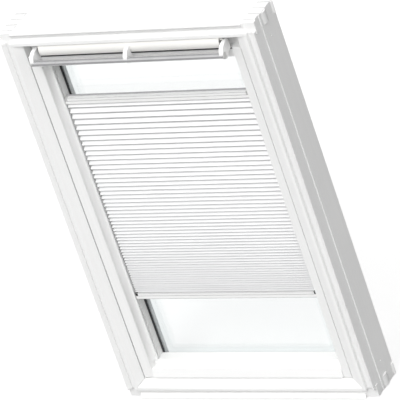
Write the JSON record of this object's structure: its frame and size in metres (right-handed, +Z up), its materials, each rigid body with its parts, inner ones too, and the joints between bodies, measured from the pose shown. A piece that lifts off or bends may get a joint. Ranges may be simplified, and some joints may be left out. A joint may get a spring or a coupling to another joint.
{
  "type": "roof window with pleated blind",
  "caption": "Centre-pivot roof window with finger-jointed white frame, ventilation flap with control bar, and a white pleated blind in side rails.",
  "frame": {"origin": "middle of the lowest level of the part: half way across its width and its depth", "axes": "+X to the right seen from the room, +Y out of the room through the glass, +Z up along the window"},
  "size_m": [0.792, 0.155, 1.18],
  "materials": {
    "frame_timber": "painted satin white",
    "sash_timber": "painted satin white",
    "zinc_steel": "zinc plated",
    "black_rubber": "matt",
    "cover_aluminium": "lacquered grey",
    "glass": "clear",
    "spacer_metal": "matt",
    "flap_white": "lacquered warm white",
    "arm_white": "satin",
    "bar_aluminium": "satin anodised",
    "grey_plastic": "satin",
    "black_plastic": "matt",
    "blind_white": "white lacquered",
    "pleated_fabric": "woven pleated"
  },
  "bodies": {
    "frame": {"frame_jamb_left": "frame_timber", "frame_jamb_right": "frame_timber", "frame_head": "frame_timber", "frame_foot": "frame_timber", "frame_pivot_left": "zinc_steel", "frame_pivot_right": "zinc_steel", "frame_seal": "black_rubber", "striker_plate": "zinc_steel"},
    "sash": {"sash_stile_left": "sash_timber", "sash_stile_right": "sash_timber", "sash_head": "sash_timber", "sash_foot": "sash_timber", "sash_pivot_left": "zinc_steel", "sash_pivot_right": "zinc_steel", "glazing_cover_left": "cover_aluminium", "glazing_cover_right": "cover_aluminium", "glazing_cover_head": "cover_aluminium", "glazing_cover_foot": "cover_aluminium", "glazing_gasket": "black_rubber", "pane_inner": "glass", "glass_spacer": "spacer_metal", "pane_outer": "glass", "vent_seal": "black_rubber", "flap_hinge_left": "zinc_steel", "flap_hinge_right": "zinc_steel", "flap_hinge_pin_left": "zinc_steel", "flap_hinge_pin_right": "zinc_steel", "lock_case": "grey_plastic", "blind_rail_left": "blind_white", "blind_rail_right": "blind_white"},
    "vent": {"vent_flap": "flap_white", "bar_arm_left": "arm_white", "bar_arm_middle": "arm_white", "bar_arm_right": "arm_white", "control_bar": "bar_aluminium", "bar_cap_left": "grey_plastic", "bar_cap_right": "grey_plastic"},
    "latch": {"lock_latch": "zinc_steel"},
    "blind_top": {"blind_top_bar": "blind_white", "blind_top_shoe_left": "grey_plastic", "blind_top_shoe_right": "grey_plastic", "blind_fabric": "pleated_fabric"},
    "blind_bottom": {"blind_bottom_bar": "blind_white", "blind_bottom_shoe_left": "black_plastic", "blind_bottom_shoe_right": "black_plastic"}
  },
  "joints": [
    {"name": "sash_pivot", "type": "hinge", "parent": "frame", "child": "sash", "pos_m": [0, 0.0075, 0.59], "axis": [1, 0, 0], "range_deg": [0, 150]},
    {"name": "vent_bar", "type": "hinge", "parent": "sash", "child": "vent", "pos_m": [0, -0.0375, 1.1325], "axis": [-1, 0, 0], "range_deg": [0, 25]},
    {"name": "latch_turn", "type": "hinge", "parent": "sash", "child": "latch", "pos_m": [0, -0.0175, 1.119], "axis": [1, 0, 0], "range_deg": [0, 12]},
    {"name": "top_bar_slide", "type": "slide", "parent": "sash", "child": "blind_top", "axis": [0, 0, 1], "range_m": [-0.05, 0.095]},
    {"name": "bottom_bar_slide", "type": "slide", "parent": "blind_top", "child": "blind_bottom", "axis": [0, 0, -1], "range_m": [-0.5, 0.14], "deforming": ["blind_fabric"]}
  ],
  "couplings": [
    {"joint": "latch_turn", "follows": "vent_bar", "ratio": 0.48}
  ]
}
